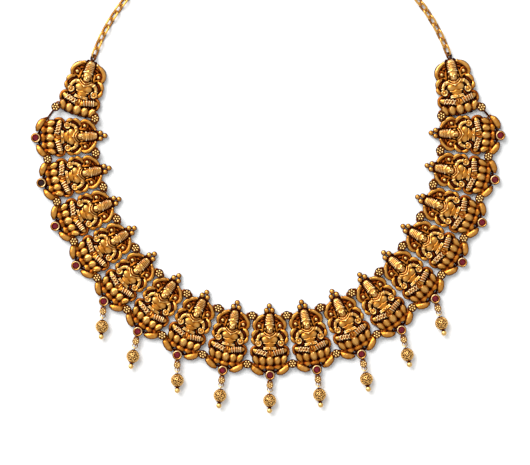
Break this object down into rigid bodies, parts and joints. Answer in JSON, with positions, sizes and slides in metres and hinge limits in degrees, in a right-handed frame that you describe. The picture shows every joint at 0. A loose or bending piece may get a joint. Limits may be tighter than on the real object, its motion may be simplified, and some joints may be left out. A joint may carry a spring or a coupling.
{
  "type": "temple jewellery necklace",
  "caption": "Curved collar necklace of linked seated-figure plaques with ruby feet, granule rosettes, bead drops, and a cable chain closed by an S hook.",
  "frame": {"origin": "middle of the flat back of the middle plaque, on the surface that the necklace lies on", "axes": "+X to the wearer's left, the right of the picture; +Y from the middle plaque up towards the back of the neck; +Z out of the plaques' faces"},
  "size_m": [0.1873, 0.1932, 0.0052],
  "materials": {
    "antique_gold": "antique gold, bright on the high relief, dark red-brown patina in the recesses",
    "dark_gold": "dark antique gold with a red-brown patina",
    "ruby": "polished deep crimson faceted stone"
  },
  "bodies": {
    "root": {"plaque_0": "antique_gold", "plaque_1": "antique_gold", "plaque_2": "antique_gold", "plaque_3": "antique_gold", "plaque_4": "antique_gold", "plaque_5": "antique_gold", "plaque_6": "antique_gold", "plaque_7": "antique_gold", "plaque_8": "antique_gold", "plaque_9": "antique_gold", "plaque_10": "antique_gold", "plaque_11": "antique_gold", "plaque_12": "antique_gold", "plaque_13": "antique_gold", "plaque_14": "antique_gold", "plaque_15": "antique_gold", "plaque_16": "antique_gold", "plaque_17": "antique_gold", "plaque_18": "antique_gold", "ruby_1": "ruby", "ruby_2": "ruby", "ruby_3": "ruby", "ruby_4": "ruby", "ruby_5": "ruby", "ruby_6": "ruby", "ruby_7": "ruby", "ruby_8": "ruby", "ruby_9": "ruby", "ruby_10": "ruby", "ruby_11": "ruby", "ruby_12": "ruby", "ruby_13": "ruby", "ruby_14": "ruby", "ruby_15": "ruby", "ruby_16": "ruby", "ruby_17": "ruby", "drop_5": "dark_gold", "drop_6": "dark_gold", "drop_7": "dark_gold", "drop_8": "dark_gold", "drop_9": "dark_gold", "drop_10": "dark_gold", "drop_11": "dark_gold", "drop_12": "dark_gold", "drop_13": "dark_gold", "drop_links": "antique_gold", "drop_rings": "antique_gold", "links_upper": "antique_gold", "links_lower": "antique_gold", "chain_left": "dark_gold", "chain_right": "dark_gold", "clasp_hook": "dark_gold"}
  },
  "joints": []
}
